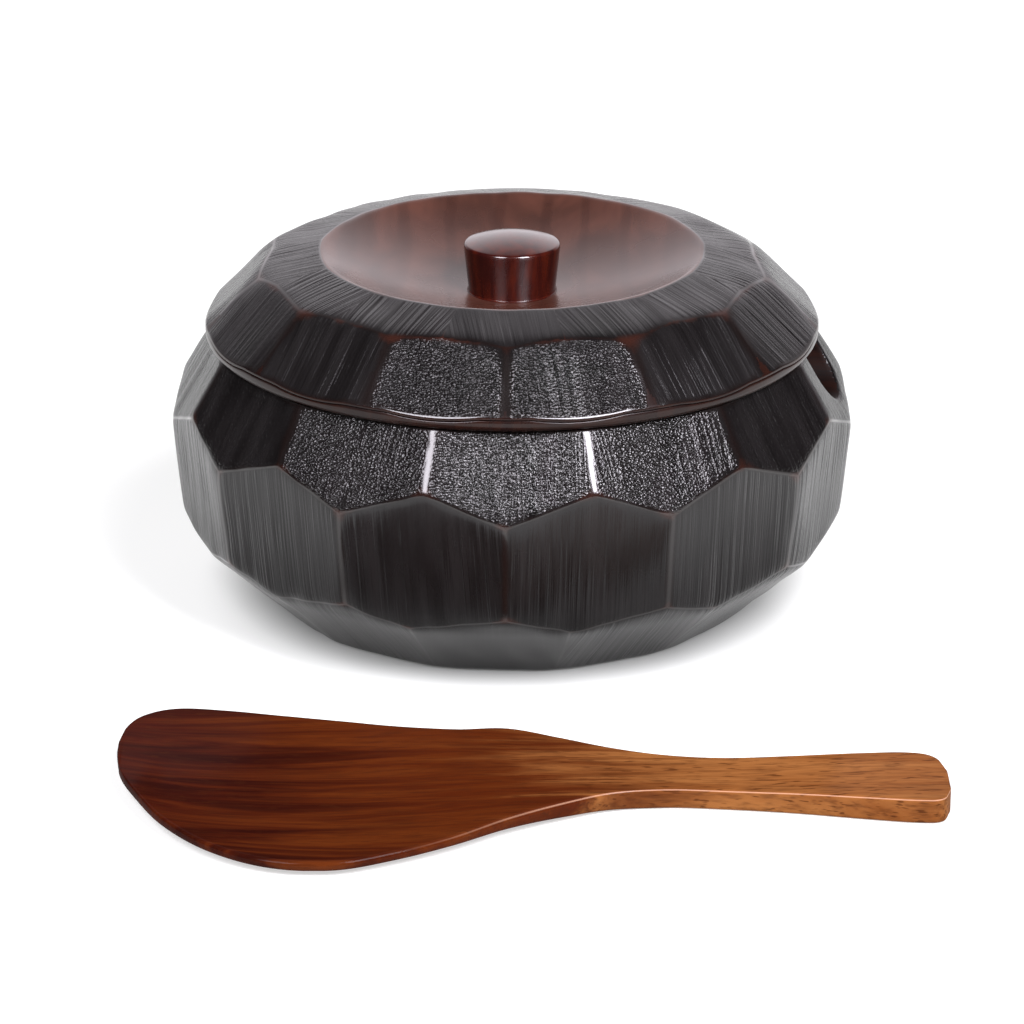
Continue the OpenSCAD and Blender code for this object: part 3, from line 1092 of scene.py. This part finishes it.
def add_world():
    """A dark room with a pale wall low behind the set, and plain white where the camera looks."""
    world = bpy.data.worlds.new("studio")
    g = Graph(world)
    way = g.node("ShaderNodeTexCoord")
    behind = g.ramp(g.axis(way, 1), 0.42, 0.92, 0.02, 1.2)
    level = g.ramp(g.axis(way, 2), -0.15, 0.15, 0.6, 1.0)
    left = g.ramp(g.axis(way, 0), -0.7, -0.05, 0.42, 1.0)
    right = g.ramp(g.axis(way, 0), 0.2, 0.65, 1.0, 0.72)
    light = g.times(g.times(behind, level), g.times(left, right))
    room = g.node("ShaderNodeBackground", {"Color": ROOM_TINT, "Strength": light})
    seen = g.node("ShaderNodeBackground", {"Color": WHITE})
    direct = g.node("ShaderNodeLightPath")
    out = g.tree.nodes.new("ShaderNodeOutputWorld")
    g.feed(out.inputs["Surface"], g.node("ShaderNodeMixShader", {0: direct, 1: room, 2: seen}))
    bpy.context.scene.world = world


def add_camera():
    """Looks at the set from the front, a little above it, with a long lens."""
    elevation = math.radians(CAMERA_RISE)
    target = Vector((0, 0, CAMERA_AIM_Z))
    way = Vector((0, -math.cos(elevation), math.sin(elevation)))
    data = bpy.data.cameras.new("camera")
    data.lens = LENS_MM
    data.sensor_width = 36
    data.clip_end = 20
    camera = bpy.data.objects.new("camera", data)
    camera.location = target + way * CAMERA_AWAY
    camera.rotation_euler = (-way).to_track_quat("-Z", "Y").to_euler()
    bpy.context.scene.collection.objects.link(camera)
    bpy.context.scene.camera = camera


def add_floor():
    mesh = bpy.data.meshes.new("floor")
    s = FLOOR_HALF
    mesh.from_pydata([(-s, -s, 0), (s, -s, 0), (s, s, 0), (-s, s, 0)], [], [(0, 1, 2, 3)])
    floor = bpy.data.objects.new("floor", mesh)
    floor.location.z = -FLOOR_DROP
    bpy.context.scene.collection.objects.link(floor)
    mesh.materials.append(floor_material())


# ---------------------------------------------------------------- assembly

bowl, bowl_index = build_bowl()
lid, lid_index = build_lid()
knob = build_knob()
paddle = build_paddle()

carved, turned = carved_lacquer(), turned_lacquer()
paint(bowl, [carved, turned, notch_lacquer()], bowl_index)
paint(lid, [carved, turned, dish_lacquer()], lid_index)
paint(knob, [knob_lacquer()])
paint(paddle, [paddle_varnish()])

for piece, node, body, slot in (
    (bowl, "bowl", "bowl", "black_lacquer"),
    (lid, "lid", "lid", "black_lacquer"),
    (knob, "knob", "lid", "red_brown_lacquer"),
    (paddle, "paddle", "paddle", "varnished_wood"),
):
    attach(piece, body)
    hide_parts(node)

add_floor()
add_world()
add_soft_box("left_box", -32, 20)
add_soft_box("right_box", 34, 36)
add_camera()
bpy.context.scene.view_settings.view_transform = "Standard"
